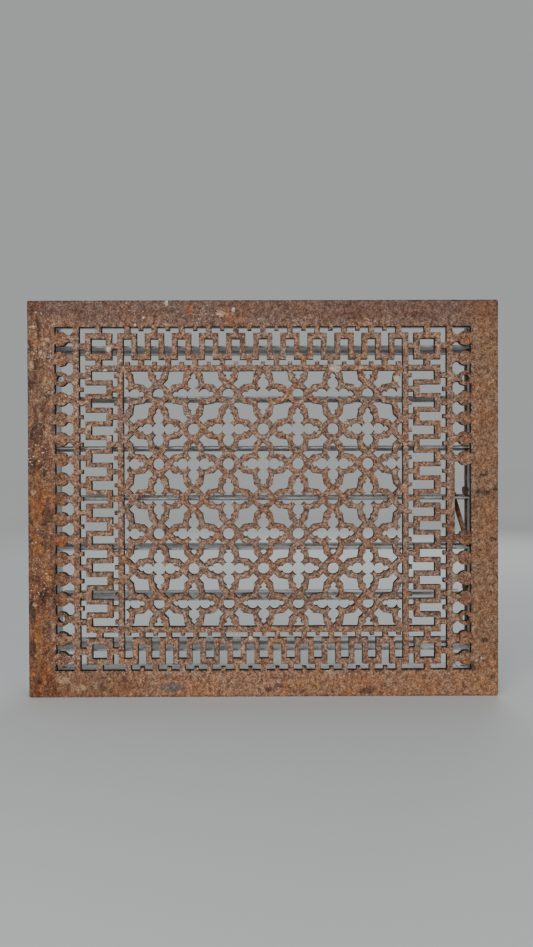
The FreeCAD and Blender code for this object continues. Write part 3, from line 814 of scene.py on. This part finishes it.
def rusted_front():
    """The casting's front: each side of the flange has its own tone, and there is loose dirt. The
    top is darker and the bottom brighter, partly their own tone and partly painted shade and light;
    the lower part is brighter as painted light from below.
    """
    finish = Finish("rusted_front", 0.88)
    grain, body = rust_tones(finish, 1.0)
    x, z = finish.axis("X"), finish.axis("Z")

    top, bottom, left, right = flange_sides(finish, x, z)
    flange = finish.highest(finish.highest(top, bottom), finish.highest(left, right))
    inside = finish.maths("SUBTRACT", 1.0, flange)
    # The lower part, brightened as painted light from below
    low = finish.between(z, -190 * MM, -240 * MM)
    body = finish.mix(finish.times(flange, 0.22), body, FLANGE_RUST)
    for share, tint in ((inside, INSIDE_TINT), (low, LOW_PAINTED_LIGHT), (top, TOP_TONE_AND_PAINTED_SHADE),
                        (bottom, BOTTOM_TONE_AND_PAINTED_LIGHT), (right, RIGHT_TINT), (left, LEFT_TINT),
                        (disc_share(finish, x, z), DISC_TINT)):
        body = finish.tinted(share, body, tint)

    pits = finish.between(finish.noise(7 * MM, 4, 0.7, shift=12.5), 0.40, 0.34)
    crowd = finish.between(finish.noise(45 * MM, 3, 0.6, shift=15.1), 0.44, 0.58, 0.35, 1.0)
    body = finish.mix(finish.times(pits, finish.times(crowd, 0.85)), body, PIT_BROWN)
    body = left_stains(finish, body, left, z)

    edge = finish.tree.nodes.new("ShaderNodeAttribute")
    edge.attribute_name = EDGE
    gnawed = finish.between(finish.noise(3.6 * MM, 3, 0.6, shift=8.3), 0.50, 0.58)
    gnawed = finish.times(finish.times(edge.outputs["Fac"], gnawed), 0.8)
    body = finish.mix(gnawed, body, EDGE_BROWN)

    ragged = finish.times(finish.noise(4.5 * MM, 3, 0.65, shift=4.4), SPOT_RAGGED)
    sand = finish.between(grain, 0.42, 0.62, 0.45, 1.6)
    for spot_x, spot_z, half_x, half_z, share, colour in SPOTS:
        mask = finish.spot(spot_x * MM, spot_z * MM, half_x * MM, half_z * MM, share, ragged)
        body = finish.mix(mask, body, finish.mix(1.0, sand, colour, "MULTIPLY"))

    dusty = finish.between(finish.noise(75 * MM, 2, 0.5, shift=1.3), 0.46, 0.62)
    dusty = finish.times(dusty, finish.between(x, 250 * MM, -250 * MM, 0.35, 1.0))
    specks = finish.between(finish.noise(3.3 * MM, 1, 0.4, shift=5.7), 0.675, 0.715)
    finish.colour(finish.mix(finish.times(specks, dusty), body, SPECK))
    finish.bump(grain, 1.4 * MM)
    return finish.material


def zinc(name, grey):
    """Dull zinc-coated sheet: faint spangle, runs of dirt, chalky bloom and a little rust."""
    finish = Finish(name, 0.55, 0.25)
    cloud = finish.noise(60 * MM, 3, 0.6)
    tone = finish.ramp(finish.cells(9 * MM), [(0.2, grey * 0.90), (0.8, grey * 1.10)])
    tone = finish.mix(finish.between(cloud, 0.35, 0.7, 0.0, 0.5), tone, (grey * 0.8,) * 3)
    runs = finish.noise(15 * MM, 4, 0.65, stretch=(1.0, 1.0, 0.12), shift=5.3)
    tone = finish.mix(finish.between(runs, 0.50, 0.68, 0.0, 0.45), tone, ZINC_DIRT)
    chalk = finish.noise(8 * MM, 4, 0.7, shift=2.9)
    tone = finish.mix(finish.between(chalk, 0.54, 0.68, 0.0, 0.40), tone, ZINC_CHALK)
    rust = finish.maths("MULTIPLY_ADD", finish.noise(5 * MM, 4, 0.7, shift=4.2), 0.5,
                        finish.times(finish.noise(85 * MM, 3, 0.6, shift=8.8), 0.5))
    bloom = finish.between(rust, 0.555, 0.625, 0.0, 0.8)
    finish.colour(finish.mix(bloom, tone, ZINC_RUST))
    finish.roughness(finish.between(cloud, 0.3, 0.7, 0.42, 0.68))
    finish.bump(finish.noise(1.5 * MM, 2, 0.5), 0.15 * MM)
    return finish.material


def steel(name, grey, rust):
    """Dull drawn steel with thin rust."""
    finish = Finish(name, 0.5, 0.8)
    film = finish.between(finish.noise(9 * MM, 4, 0.6), 0.42, 0.66, 0.0, rust)
    finish.colour(finish.mix(film, (grey, grey * 0.97, grey * 0.93), STEEL_RUST))
    finish.roughness(finish.between(film, 0.0, 1.0, 0.42, 0.85))
    finish.bump(finish.noise(1.2 * MM, 2, 0.5), 0.2 * MM)
    return finish.material


# ---------------------------------------------------------------- pieces

def worn_edges(node, size):
    """Small rounded edges on a CAD node."""
    weld = node.modifiers.new("weld", "WELD")
    weld.merge_threshold = WELD
    bevel = node.modifiers.new("worn", "BEVEL")
    bevel.width = size
    bevel.segments = WORN_SEGMENTS
    bevel.limit_method = "ANGLE"
    bevel.angle_limit = WORN_TURN


def dress(prefix, finish, edge=0.0):
    """Gives every CAD node with that name or prefix a material and worn edges."""
    for name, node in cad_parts.items():
        if name == prefix or name.startswith(prefix + "_"):
            node.data.materials.clear()
            node.data.materials.append(finish)
            if edge:
                worn_edges(node, edge)


def pieces():
    # The hole walls' rust is darkened to 0.11: partly dark rust, partly painted shade.
    fretted_face([rusted_front(), rusted_iron("rust_and_painted_shade_in_holes", 0.11),
                  rusted_iron("rusted_back", 0.7)])
    box_zinc = zinc("zinc_box", 0.56)
    for side in ("box_side_left", "box_side_right", "box_top", "box_bottom", "corner_angle"):
        dress(side, box_zinc)
    dress("louvre_blade", zinc("zinc_louvre", 0.56))
    dress("pivot_rod", steel("rod_steel", 0.22, 0.7))
    # The bar's washers and the lever's pin get worn edges here too, and the handled knob twice
    linkage = rusted_iron("linkage_iron", 0.75)
    for part in ("crank", "tie_bar", "lever", "lever_knob"):
        dress(part, linkage, WORN_EDGE)
    fastener = steel("fastener_steel", 0.2, 0.9)
    for part in ("box_rivets", "lip_screws", "tie_bar_washers", "lever_pin"):
        dress(part, fastener)
    dress("friction_spring", steel("spring_steel", 0.25, 0.5))


# ---------------------------------------------------------------- stage, light and camera

def stage():
    z = cad_box[0].z
    mesh = bpy.data.meshes.new("floor")
    mesh.from_pydata([(sx * FLOOR_HALF, sy * FLOOR_HALF, z)
                      for sx, sy in ((-1, -1), (1, -1), (1, 1), (-1, 1))], [], [(0, 1, 2, 3)])
    floor = bpy.data.objects.new("floor", mesh)
    bpy.context.scene.collection.objects.link(floor)
    finish = Finish("floor_paint", 0.85)
    away = finish.between(finish.vector_maths("LENGTH", finish.place), FLOOR_NEAR, FLOOR_FAR)
    finish.colour(finish.mix(away, FLOOR_PAINT, FLOOR_PALE))
    mesh.materials.append(finish.material)
    world = bpy.data.worlds.new("studio")
    bpy.context.scene.world = world
    world.use_nodes = True
    background = world.node_tree.nodes["Background"]
    background.inputs["Color"].default_value = WORLD_COLOUR
    background.inputs["Strength"].default_value = 1.0


def lamp(name, place, aim, size, power):
    data = bpy.data.lights.new(name, "AREA")
    data.shape = "RECTANGLE"
    data.size = data.size_y = size
    data.energy = power
    made = bpy.data.objects.new(name, data)
    made.location = place
    made.rotation_euler = (Vector(aim) - Vector(place)).to_track_quat("-Z", "Y").to_euler()
    bpy.context.scene.collection.objects.link(made)


def camera():
    data = bpy.data.cameras.new("camera")
    data.sensor_width = CAMERA_SENSOR
    data.lens = CAMERA_LENS
    made = bpy.data.objects.new("camera", data)
    made.location = (CAMERA_X, FRONT - CAMERA_DISTANCE, CAMERA_Z)
    made.rotation_euler = (math.radians(90 - CAMERA_DOWN), math.radians(CAMERA_ROLL),
                           math.radians(-CAMERA_RIGHT))
    bpy.context.scene.collection.objects.link(made)
    bpy.context.scene.camera = made


pieces()
stage()
for row in LAMPS:
    lamp(*row)
camera()
